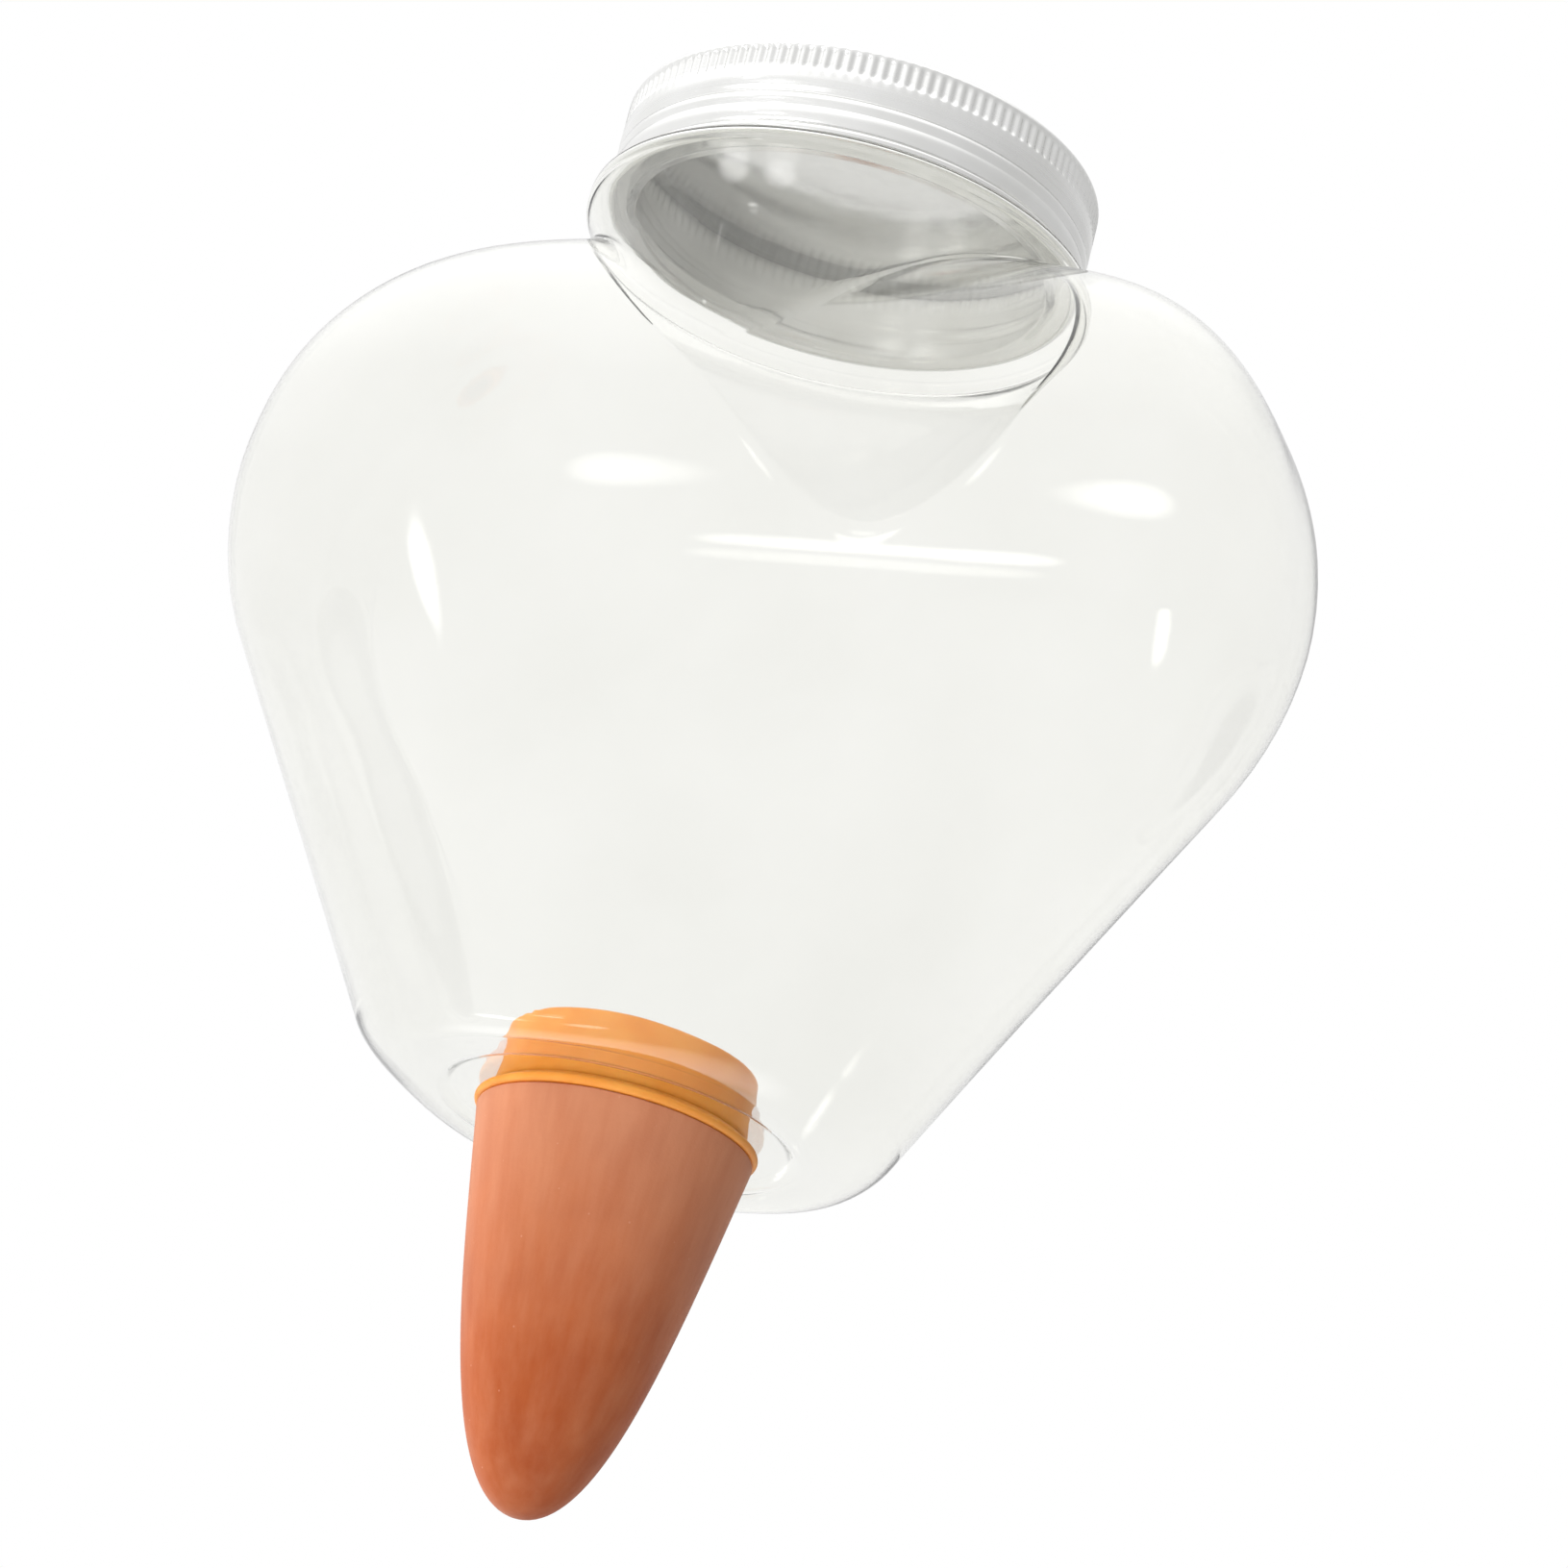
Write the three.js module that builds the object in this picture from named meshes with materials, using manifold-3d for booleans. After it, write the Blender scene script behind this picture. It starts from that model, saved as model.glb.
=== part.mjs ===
// Watering globe: a clear heart-shaped jar with a screw lid, a sleeve in its base and a clay spike.
// Millimetres, +Z up, +X across the heart, front along -Y. The origin is the middle of the jar's base.
import * as THREE from 'three';
import { mergeGeometries, mergeVertices } from 'three/addons/utils/BufferGeometryUtils.js';
import Module from 'manifold-3d';

const wasm = await Module();
wasm.setup();

// Clearances
const SEAT_GAP = 0.3; // between pieces that touch
const THREAD_GAP = 1.0; // between a thread's crest and the wall that it faces
const RIM_GAP = 0.6; // under the closed lid's rim

// Jar body, a heart in front view and round at the base
const JAR_WALL = 1.2;
const LOBE_RADIUS = 46.3;
const LOBE_SPREAD = 32.6; // from the middle to each lobe's centre
const LOBE_HEIGHT = 86.7; // from the base to the lobes' centres
const BASE_HALF_WIDTH = 33.6;
const BASE_HALF_DEPTH = 34.3;
const BASE_EDGE = 3.0; // rounding round the base
const SHOULDER_HALF_DEPTH = 33.0;
const DOME_RISE = 35.1; // height of the rounded top, from the shoulder to the lobes' tops
const BASE_SQUARENESS = 2.5; // superellipse exponents of the level sections
const LOBE_SQUARENESS = 3.4;

// Neck: ring under the lid, waist below it and threaded finish above it
const NECK_WALL = 1.6;
const FINISH_RADIUS = 31.4;
const FINISH_TALL = 12.0;
const RING_LIP = 2.3; // ring past the lid's side
const RING_TALL = 2.6;
const RING_EDGE = 0.7;
const RING_ABOVE_LOBES = 0.1; // ring's lower edge above the lobes' tops
const RING_INNER_EDGE = 0.2; // rounding inside the hollow of the ring
const WAIST_RADIUS = 33.0;
const WAIST_DROP = 6.8; // from the ring's lower edge down to the waist
const ROOT_INSET = 2.1; // neck's root inside the front of the shoulder

// Screw thread, right-handed
const THREAD_LEAD = 4.2;
const THREAD_HEIGHT = 1.6;
const THREAD_ROOT = 1.9; // width at the wall
const THREAD_CREST = 0.7; // width at the crest
const THREAD_BITE = 0.3; // sunk into the wall that carries it
const NECK_THREAD_TURNS = 1.25;
const LID_THREAD_TURNS = 1.0;
const THREAD_ABOVE_RING = 3.6; // start of the neck's thread

// Lid and its liner
const LID_WALL = 1.0;
const LINER_THICK = 1.5;
const LINER_MARGIN = 0.5; // inside the lid's wall
const LID_CORNER = 1.0;
const KNURL_COUNT = 132;
const KNURL_TALL = 3.8;
const KNURL_DEPTH = 0.45;
const KNURL_WIDTH = 1.0;
const GROOVE_DROP = 3.7; // from the knurl's lower end to the rolled groove
const GROOVE_TALL = 1.0;
const GROOVE_DEPTH = 0.5;
const BEAD_TALL = 1.8; // between the groove and the crease
const CREASE_DEPTH = 0.3;
const CURL_TALL = 1.6; // rolled rim

// Sleeve in the base hole
const SLEEVE_RADIUS = 17.0;
const SLEEVE_WALL = 1.4;
const SLEEVE_TALL = 10.4; // above the base
const FLANGE_LIP = 3.0; // past the sleeve's side
const FLANGE_THICK = 1.5;
const GRIP_LIP = 1.0; // inner lip that grips the base
const GRIP_TALL = 2.4;
const RECESS_DEPTH = 0.9; // shallow recess in the base, round the hole
const RECESS_MARGIN = 4.6; // past the flange

// Clay spike
const SPIKE_LENGTH = 55.4; // from shoulder to tip
const SPIKE_WALL = 4.0;
const SPIKE_TAPER = 0.79; // outline's upper handle, as a share of the radius
const SPIKE_TAPER_DROP = 0.44; // and as a share of the length
const SPIKE_BLUNT = 0.58; // outline's tip handle, as a share of the radius
const SPIKE_INSET = 0.5; // shoulder inside the flange's edge
const SPIGOT_SHORT = 1.6; // spigot's end below the sleeve's top

// Facets
const BODY_SIDES = 56;
const EDGE_STEPS = 3; // up the base's rounding
const SIDE_STEPS = 3; // up the straight side
const LOBE_STEPS = 16; // over the lobe
const RIDGE_STOP = 0.965; // share of the quarter turn to the ridge, whose last strip the neck covers
const NECK_SIDES = 56;
const WAIST_STEPS = 7; // up the neck from its root to the waist
const LID_SIDES = KNURL_COUNT / 2;
const SLEEVE_SIDES = 44;
const SPIKE_SIDES = 44;
const THREAD_STEPS = 26; // in each turn
const THREAD_FADE_STEPS = 4; // over which a thread's end sinks into its wall
const THREAD_END = 0.1; // share of the height left at the end
const CUT_PAST = 1.0; // how far a cutting solid runs past what it cuts

// Places worked out from the sizes above
const lobeTop = LOBE_HEIGHT + LOBE_RADIUS;
const shoulderHeight = lobeTop - DOME_RISE;
const lidInner = FINISH_RADIUS + THREAD_HEIGHT + THREAD_GAP;
const lidRadius = lidInner + LID_WALL;
const ringRadius = lidRadius + RING_LIP;
const ringBottom = lobeTop + RING_ABOVE_LOBES;
const ringTop = ringBottom + RING_TALL;
const finishTop = ringTop + FINISH_TALL;
const rootRadius = SHOULDER_HALF_DEPTH - ROOT_INSET;
const linerBottom = finishTop + SEAT_GAP;
const linerTop = linerBottom + LINER_THICK;
const lidInnerTop = linerTop + SEAT_GAP;
const lidTop = lidInnerTop + LID_WALL;
const lidRim = ringTop + RIM_GAP;
const threadStart = ringTop + THREAD_ABOVE_RING;
const holeRadius = SLEEVE_RADIUS + SEAT_GAP;
const flangeRadius = SLEEVE_RADIUS + FLANGE_LIP;
const recessRadius = flangeRadius + RECESS_MARGIN;
const baseThick = RECESS_DEPTH + JAR_WALL;
const flangeTop = RECESS_DEPTH - SEAT_GAP;
const flangeBottom = flangeTop - FLANGE_THICK;
const gripBottom = baseThick + SEAT_GAP;
const spikeShoulder = flangeBottom - SEAT_GAP;
const shoulderRadius = flangeRadius - SPIKE_INSET;
const spigotRadius = SLEEVE_RADIUS - SLEEVE_WALL - SEAT_GAP;
const spigotBore = spigotRadius - SPIKE_WALL;
const spigotTop = SLEEVE_TALL - SPIGOT_SHORT;

// Closed solids from three.js geometry, and back

function solid(geometry) {
  const bare = geometry.index ? geometry.toNonIndexed() : geometry.clone();
  bare.deleteAttribute('normal');
  bare.deleteAttribute('uv');
  const welded = mergeVertices(bare, 1e-4);
  const mesh = new wasm.Mesh({
    numProp: 3,
    vertProperties: new Float32Array(welded.attributes.position.array),
    triVerts: new Uint32Array(welded.index.array),
  });
  return new wasm.Manifold(mesh);
}

function geometryOf(manifold) {
  const mesh = manifold.getMesh();
  const geometry = new THREE.BufferGeometry();
  geometry.setAttribute('position', new THREE.BufferAttribute(new Float32Array(mesh.vertProperties), 3));
  geometry.setIndex(new THREE.BufferAttribute(new Uint32Array(mesh.triVerts), 1));
  geometry.computeVertexNormals();
  return geometry;
}

// A solid of revolution about Z. The profile is a list of (radius, height), counterclockwise and closed.
function revolved(profile, sides) {
  const points = profile.map(([r, z]) => new THREE.Vector2(r, z));
  if (profile[0][0] > 0) points.push(points[0].clone());
  const geometry = new THREE.LatheGeometry(points, sides);
  geometry.rotateX(Math.PI / 2);
  return solid(geometry);
}

// Points of an arc round (r, z), from one angle to another in degrees
function arc(r, z, radius, from, to, steps) {
  return Array.from({ length: steps + 1 }, (_, i) => {
    const angle = THREE.MathUtils.degToRad(from + ((to - from) * i) / steps);
    return [r + radius * Math.cos(angle), z + radius * Math.sin(angle)];
  });
}

// Rings of equal point counts joined into a closed skin, with a fan at each end
function skin(rings) {
  const sides = rings[0].length;
  const positions = rings.flat();
  const index = [];
  for (let ring = 0; ring + 1 < rings.length; ring += 1) {
    for (let side = 0; side < sides; side += 1) {
      const a = ring * sides + side;
      const b = ring * sides + ((side + 1) % sides);
      index.push(a, b, b + sides, a, b + sides, a + sides);
    }
  }
  const closeEnd = (ring, outward) => {
    const start = ring * sides;
    const middle = positions.length;
    const centre = rings[ring].reduce((sum, p) => sum.map((v, k) => v + p[k] / sides), [0, 0, 0]);
    positions.push(centre);
    for (let side = 0; side < sides; side += 1) {
      const a = start + side;
      const b = start + ((side + 1) % sides);
      index.push(...(outward ? [a, b, middle] : [b, a, middle]));
    }
  };
  closeEnd(0, false);
  closeEnd(rings.length - 1, true);
  const geometry = new THREE.BufferGeometry();
  geometry.setAttribute('position', new THREE.Float32BufferAttribute(positions.flat(), 3));
  geometry.setIndex(index);
  return solid(geometry);
}

// Heart body: level superellipse sections between the base and the lobes' tops, a wall's thickness inside
// the outer skin when inset is that wall

function heartSide(inset, floor) {
  const lobe = LOBE_RADIUS - inset;
  const foot = BASE_HALF_WIDTH - inset;
  const run = LOBE_SPREAD - foot;
  const rise = LOBE_HEIGHT - floor;
  const slope = Math.atan2(rise, run) - Math.asin(lobe / Math.hypot(run, rise));
  const tangent = slope - Math.PI / 2; // angle on the lobe where the straight side meets it
  const tangentHeight = LOBE_HEIGHT + lobe * Math.sin(tangent);
  return { lobe, foot, slope, tangent, tangentHeight };
}

function heartSection(z, inset, floor) {
  const { lobe, foot, slope, tangentHeight } = heartSide(inset, floor);
  const onSide = foot + (z - floor) / Math.tan(slope);
  const overLobe = LOBE_SPREAD + Math.sqrt(Math.max(lobe * lobe - (z - LOBE_HEIGHT) ** 2, 0));
  const halfWidth = z < tangentHeight ? onSide : overLobe;

  const upSide = THREE.MathUtils.clamp(z / shoulderHeight, 0, 1);
  const sideDepth = THREE.MathUtils.lerp(BASE_HALF_DEPTH, SHOULDER_HALF_DEPTH, upSide) - inset;
  const overDome = Math.max(z - shoulderHeight, 0) / (DOME_RISE - inset);
  const halfDepth = sideDepth * Math.sqrt(Math.max(1 - overDome * overDome, 0));

  const edge = Math.max(BASE_EDGE - inset, 0);
  const below = Math.max(edge - (z - floor), 0);
  const rounding = edge - Math.sqrt(Math.max(edge * edge - below * below, 0));
  const upLobe = THREE.MathUtils.clamp(z / LOBE_HEIGHT, 0, 1);
  const squareness = THREE.MathUtils.lerp(BASE_SQUARENESS, LOBE_SQUARENESS, upLobe);
  return { halfWidth: halfWidth - rounding, halfDepth: halfDepth - rounding, squareness };
}

function heartRing(z, inset, floor) {
  const { halfWidth, halfDepth, squareness } = heartSection(z, inset, floor);
  const power = 2 / squareness;
  return Array.from({ length: BODY_SIDES }, (_, i) => {
    const angle = (2 * Math.PI * i) / BODY_SIDES;
    const c = Math.cos(angle);
    const s = Math.sin(angle);
    const x = halfWidth * Math.sign(c) * Math.abs(c) ** power;
    const y = halfDepth * Math.sign(s) * Math.abs(s) ** power;
    return [x, y, z];
  });
}

function heartSolid(inset, floor) {
  const { lobe, tangent, tangentHeight } = heartSide(inset, floor);
  const edge = Math.max(BASE_EDGE - inset, 0);
  const lastAngle = (Math.PI / 2) * RIDGE_STOP;
  const heights = [];
  for (let i = 0; i < EDGE_STEPS; i += 1) {
    heights.push(floor + edge * (1 - Math.cos((Math.PI / 2) * (i / EDGE_STEPS))));
  }
  for (let i = 0; i < SIDE_STEPS; i += 1) {
    heights.push(THREE.MathUtils.lerp(floor + edge, tangentHeight, i / SIDE_STEPS));
  }
  for (let i = 0; i <= LOBE_STEPS; i += 1) {
    const angle = THREE.MathUtils.lerp(tangent, lastAngle, i / LOBE_STEPS);
    heights.push(LOBE_HEIGHT + lobe * Math.sin(angle));
  }
  return skin(heights.map((z) => heartRing(z, inset, floor)));
}

// A helical ridge on a wall: side is 1 for a ridge that stands outwards and -1 for one that stands inwards
function threadRidge(wallRadius, side, startHeight, startTurn, turns) {
  const steps = Math.round(THREAD_STEPS * turns);
  const rings = [];
  for (let i = 0; i <= steps; i += 1) {
    const turn = startTurn + (turns * i) / steps;
    const angle = 2 * Math.PI * turn;
    const z = startHeight + THREAD_LEAD * turn;
    const fade = Math.min(1, THREAD_END + Math.min(i, steps - i) / THREAD_FADE_STEPS);
    const root = wallRadius - side * THREAD_BITE;
    const crest = wallRadius + side * THREAD_HEIGHT * fade;
    const section = [
      [root, -THREAD_ROOT / 2],
      [root, THREAD_ROOT / 2],
      [crest, THREAD_CREST / 2],
      [crest, -THREAD_CREST / 2],
    ];
    if (side < 0) section.reverse();
    rings.push(section.map(([r, dz]) => [r * Math.cos(angle), r * Math.sin(angle), z + dz]));
  }
  return skin(rings);
}

// Reservoir

function neckOutline(inset) {
  const ringCorner = Math.max(RING_EDGE - inset, RING_INNER_EDGE);
  const ring = ringRadius - inset;
  const waist = Array.from({ length: WAIST_STEPS + 1 }, (_, i) => [
    THREE.MathUtils.lerp(rootRadius, WAIST_RADIUS, i / WAIST_STEPS) - inset,
    THREE.MathUtils.lerp(shoulderHeight, ringBottom - WAIST_DROP, i / WAIST_STEPS),
  ]);
  return [
    ...waist,
    ...arc(ring - ringCorner, ringBottom + inset / 2 + ringCorner, ringCorner, -45, 0, 2),
    ...arc(ring - ringCorner, ringTop - inset - ringCorner, ringCorner, 0, 90, 3),
    [FINISH_RADIUS - inset, ringTop - inset],
  ];
}

function makeReservoir() {
  const rootBottom = shoulderHeight - DOME_RISE;
  const outerNeck = revolved(
    [[0, rootBottom], [rootRadius, rootBottom], ...neckOutline(0), [FINISH_RADIUS, finishTop], [0, finishTop]],
    NECK_SIDES,
  );
  const mouth = finishTop + CUT_PAST;
  const innerRoot = rootRadius - NECK_WALL;
  const innerFinish = FINISH_RADIUS - NECK_WALL;
  const innerNeck = revolved(
    [[0, rootBottom], [innerRoot, rootBottom], ...neckOutline(NECK_WALL), [innerFinish, mouth], [0, mouth]],
    NECK_SIDES,
  );
  const recess = revolved(
    [[0, -CUT_PAST], [recessRadius, -CUT_PAST], [recessRadius, RECESS_DEPTH], [0, RECESS_DEPTH]],
    NECK_SIDES,
  );
  const holeTop = baseThick + CUT_PAST;
  const hole = revolved(
    [[0, -CUT_PAST], [holeRadius, -CUT_PAST], [holeRadius, holeTop], [0, holeTop]],
    NECK_SIDES,
  );
  const thread = threadRidge(FINISH_RADIUS, 1, threadStart, 0, NECK_THREAD_TURNS);
  const outside = heartSolid(0, 0).add(outerNeck);
  const inside = heartSolid(JAR_WALL, baseThick).add(innerNeck);
  return outside.subtract(inside).subtract(recess).subtract(hole).add(thread);
}

// Lid, a pressed shell with a knurl, a rolled groove, a bead, a crease and a curled rim

function makeLid() {
  const knurlTop = lidTop - LID_CORNER;
  const knurlBottom = knurlTop - KNURL_TALL;
  const groove = knurlBottom - GROOVE_DROP + GROOVE_TALL;
  const crease = groove - GROOVE_TALL - BEAD_TALL;
  const curl = CURL_TALL / 2;
  const grooveBed = lidRadius - GROOVE_DEPTH;
  const outer = [
    ...arc(lidRadius - curl, lidRim + curl, curl, -90, 60, 4),
    [lidRadius - CREASE_DEPTH / 3, crease - CREASE_DEPTH],
    [lidRadius - CREASE_DEPTH, crease],
    [lidRadius, crease + BEAD_TALL / 3],
    [lidRadius, groove - GROOVE_TALL],
    [grooveBed, groove - (GROOVE_TALL * 2) / 3],
    [grooveBed, groove - GROOVE_TALL / 3],
    [lidRadius, groove],
    [lidRadius, knurlBottom],
    ...arc(lidRadius - LID_CORNER, knurlTop, LID_CORNER, 0, 90, 3),
  ];
  const shell = revolved(
    [...outer, [0, lidTop], [0, lidInnerTop], [lidInner, lidInnerTop], [lidInner, lidRim]],
    LID_SIDES,
  );
  const flute = new THREE.CylinderGeometry(KNURL_WIDTH / 2, KNURL_WIDTH / 2, KNURL_TALL, 6);
  flute.rotateX(Math.PI / 2);
  flute.scale(KNURL_DEPTH / (KNURL_WIDTH / 2), 1, 1);
  const flutes = Array.from({ length: KNURL_COUNT }, (_, i) => {
    const place = new THREE.Matrix4().makeRotationZ((2 * Math.PI * (i + 0.5)) / KNURL_COUNT);
    place.multiply(new THREE.Matrix4().makeTranslation(lidRadius, 0, knurlBottom + KNURL_TALL / 2));
    return flute.clone().applyMatrix4(place);
  });
  const threadDrop = THREAD_LEAD / 2;
  const firstTurn = NECK_THREAD_TURNS - LID_THREAD_TURNS;
  const thread = threadRidge(lidInner, -1, threadStart - threadDrop, firstTurn, LID_THREAD_TURNS);
  return shell.subtract(solid(mergeGeometries(flutes))).add(thread);
}

function makeLiner() {
  const radius = lidInner - LINER_MARGIN;
  return revolved([[0, linerBottom], [radius, linerBottom], [radius, linerTop], [0, linerTop]], NECK_SIDES);
}

// Sleeve with an outer flange, an inner grip lip and a plain bore

function makeSleeve() {
  const bore = SLEEVE_RADIUS - SLEEVE_WALL;
  const grip = SLEEVE_RADIUS + GRIP_LIP;
  const edge = FLANGE_THICK / 2;
  return revolved(
    [
      [bore, flangeBottom],
      ...arc(flangeRadius - edge, flangeBottom + edge, edge, -90, 90, 6),
      [SLEEVE_RADIUS, flangeTop],
      [SLEEVE_RADIUS, gripBottom],
      [grip, gripBottom],
      [grip, gripBottom + GRIP_TALL / 3],
      [SLEEVE_RADIUS, gripBottom + GRIP_TALL],
      [SLEEVE_RADIUS, SLEEVE_TALL - SLEEVE_WALL / 2],
      [SLEEVE_RADIUS - SLEEVE_WALL / 2, SLEEVE_TALL],
      [bore, SLEEVE_TALL],
    ],
    SLEEVE_SIDES,
  );
}

// Spike: a convex cone from the shoulder to a round tip, hollow, with a spigot above

function spikeCurve(topRadius, top, tip, steps) {
  const length = top - tip;
  const curve = new THREE.CubicBezierCurve(
    new THREE.Vector2(topRadius, top),
    new THREE.Vector2(topRadius * SPIKE_TAPER, top - length * SPIKE_TAPER_DROP),
    new THREE.Vector2(topRadius * SPIKE_BLUNT, tip),
    new THREE.Vector2(0, tip),
  );
  return curve.getPoints(steps).map((p) => [p.x, p.y]);
}

function makeSpike() {
  const tip = spikeShoulder - SPIKE_LENGTH;
  const chamfer = SPIKE_INSET;
  const outside = spikeCurve(shoulderRadius, spikeShoulder - chamfer, tip, 14).reverse();
  const inside = spikeCurve(spigotBore, spikeShoulder, tip + SPIKE_WALL, 9);
  return revolved(
    [
      ...outside,
      [shoulderRadius - chamfer, spikeShoulder],
      [spigotRadius, spikeShoulder],
      [spigotRadius, spigotTop - chamfer],
      [spigotRadius - chamfer, spigotTop],
      [spigotBore, spigotTop],
      ...inside,
    ],
    SPIKE_SIDES,
  );
}

// Scene

function piece(name, manifold, colour, roughness, metalness) {
  const material = new THREE.MeshStandardMaterial({ color: colour, roughness, metalness });
  const mesh = new THREE.Mesh(geometryOf(manifold), material);
  mesh.name = name;
  return mesh;
}

const globe = new THREE.Group();
globe.add(piece('reservoir', makeReservoir(), 0xeef0ec, 0.05, 0));
globe.add(piece('lid', makeLid(), 0xd8d8d6, 0.3, 1));
globe.add(piece('lid_liner', makeLiner(), 0xf4f3ee, 0.9, 0));
globe.add(piece('sleeve', makeSleeve(), 0xe98c2b, 0.55, 0));
globe.add(piece('spike', makeSpike(), 0xc07150, 0.95, 0));

export default globe;
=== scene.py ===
# Watering globe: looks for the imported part, in metres, in the part's own frame
import functools
import math

import bmesh
import bpy
from mathutils import Matrix, Vector


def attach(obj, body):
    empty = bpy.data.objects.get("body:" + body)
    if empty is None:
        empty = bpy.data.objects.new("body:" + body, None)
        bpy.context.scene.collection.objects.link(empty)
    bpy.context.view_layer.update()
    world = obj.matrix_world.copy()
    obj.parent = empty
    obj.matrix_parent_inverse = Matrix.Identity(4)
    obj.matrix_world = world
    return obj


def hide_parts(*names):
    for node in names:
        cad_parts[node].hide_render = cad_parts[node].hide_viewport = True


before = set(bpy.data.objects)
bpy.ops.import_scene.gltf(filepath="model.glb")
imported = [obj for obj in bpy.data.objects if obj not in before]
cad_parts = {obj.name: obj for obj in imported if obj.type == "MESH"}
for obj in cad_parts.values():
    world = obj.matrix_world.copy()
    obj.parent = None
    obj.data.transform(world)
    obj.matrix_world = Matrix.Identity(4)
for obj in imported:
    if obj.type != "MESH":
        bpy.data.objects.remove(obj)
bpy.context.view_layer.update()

MM = 0.001


# Sizes of the real pieces in millimetres: the solids' own with finer edges, but for the jar's thinner
# walls, and for the sleeve, which fills its seat and has a wider and taller collar

JAR_WALL = 0.4
LOBE_RADIUS = 46.3
LOBE_SPREAD = 32.6
LOBE_HEIGHT = 86.7
BASE_HALF_WIDTH = 33.6
BASE_HALF_DEPTH = 34.3
BASE_EDGE = 3.0
FLANK_EDGE = 6.5  # the base edge is rounder under the flanks than at the front and back
BELLY_HEIGHT = 58.0  # the rows of the flanks lie closer above it
SHOULDER_HALF_DEPTH = 33.0
DOME_RISE = 35.1
SHOULDER = LOBE_HEIGHT + LOBE_RADIUS - DOME_RISE
LEAST_HALF = 0.1  # a level section closes no further than this
BASE_SQUARENESS = 2.5
LOBE_SQUARENESS = 3.4

HOLE_RADIUS = 17.3
HOLE_EDGE = 0.1
RECESS_RADIUS = 24.6
RECESS_DEPTH = 0.9
RECESS_SOFT = 1.2  # half the width of its soft step
BASE_LOOPS = (0.3, 0.75)  # shares of the way from the recess to the base edge

ROOT_RADIUS = 30.9
WAIST_RADIUS = 33.0
WAIST_HEIGHT = 126.3
WAIST_BLEND = 0.9
CREASE_BLEND = 0.75  # rounding where the neck meets the dome
CREASE_WIDENS = 2.0  # times its size that it gains towards the lobes
RING_RADIUS = 37.3
RING_BOTTOM = 133.1
RING_TOP = 135.7
RING_EDGE = 0.7
RING_INNER_EDGE = 0.4
FINISH_WALL = 1.1
FINISH_RADIUS = 31.4
FINISH_BORE = FINISH_RADIUS - FINISH_WALL
FINISH_TOP = 147.7
FINISH_LIP = 0.6
FINISH_BORE_LIP = 0.3
FINISH_FOOT = [(1.2, 0.0), (0.4, 0.2)]  # out from its side and up from the ring
FINISH_SPAN = (RING_TOP + 0.8, FINISH_TOP - 0.7)  # heights of its threaded side
BORE_SPAN = (FINISH_TOP - 0.9, RING_TOP + 0.2)  # and of its bore, downwards
BORE_FOOT = [(0.2, 0.2), (0.7, 0.0)]  # out from its bore and up from the ring's ceiling
THIN_FROM = RING_TOP + 0.3  # the jar's faces above it are of thin PET

THREAD_LEAD = 4.2
THREAD_HEIGHT = 1.6
THREAD_WIDTH = 1.9
THREAD_SLOPE = 1.45  # more than 1, so that the crest is flat
THREAD_FADE = 8  # a thread rises out of its wall over one turn divided by this
THREAD_INSIDE = 0.35  # share of the neck's thread that shows in its bore
NECK_THREAD_START = 139.3
NECK_THREAD_TURNS = 1.25
LID_THREAD_TURNS = 1.0

LID_RADIUS = 35.0
LID_INNER = 34.0
LID_RIM = 136.3
LID_TOP = 150.8
LID_CEILING = 149.8
LID_CURL = 0.8
LID_CORNER = 1.0
LID_SKIRT = [  # in from the lid's side, and height: crease, bead and groove from the rim to the knurl
    (0.22, 138.3), (0.12, 139.2), (0.12, 140.1), (0.3, 140.45), (0.3, 140.65), (0.05, 141.0), (0.0, 141.5),
    (0.05, 142.1), (0.3, 142.4), (0.5, 142.65), (0.5, 142.85), (0.2, 143.2), (0.0, 143.6), (0.0, 144.8),
]
LID_INNER_CORNER = [(32.6, LID_CEILING), (33.4, 149.6)]
LID_INNER_SKIRT = (145.0, LID_RIM + 1.4)  # heights of its inside below the knurl, downwards
LID_INNER_RIM = (LID_INNER + 0.1, LID_RIM + 1.0)
LID_PANEL = 32.4  # radius of the panel in its top
LID_PANEL_EDGE = 33.0
LID_PANEL_SINK = 0.12
LACQUER_REACH = LID_INNER + 0.25  # the lid's inside lies within this radius
LACQUER_TOP = LID_TOP - 0.5  # and below this height
KNURL_COUNT = 132
KNURL_BOTTOM = 146.0
KNURL_TOP = 149.8
KNURL_DEPTH = 0.45
KNURL_RUN = 0.5  # height over which a knurl sinks in
KNURL_INSIDE = 0.6  # share of its depth that shows inside
KNURL_HEIGHTS = (145.8, 146.1, 146.3, 146.6, 147.2, 148.2, 149.0, 149.3, 149.5, 149.7)
KNURL_INNER_HEIGHTS = (149.2, 148.6, 147.6, 146.8, 146.2, 145.6)

LINER_RADIUS = 33.5
LINER_BOTTOM = 148.0
LINER_TOP = 149.5
LINER_EDGE = 0.3
DISC_LOOP = 20.0  # radii of the rows that divide the flat discs of lid and liner
DISC_CORE = 8.0
DISC_HUB = 0.2

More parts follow.
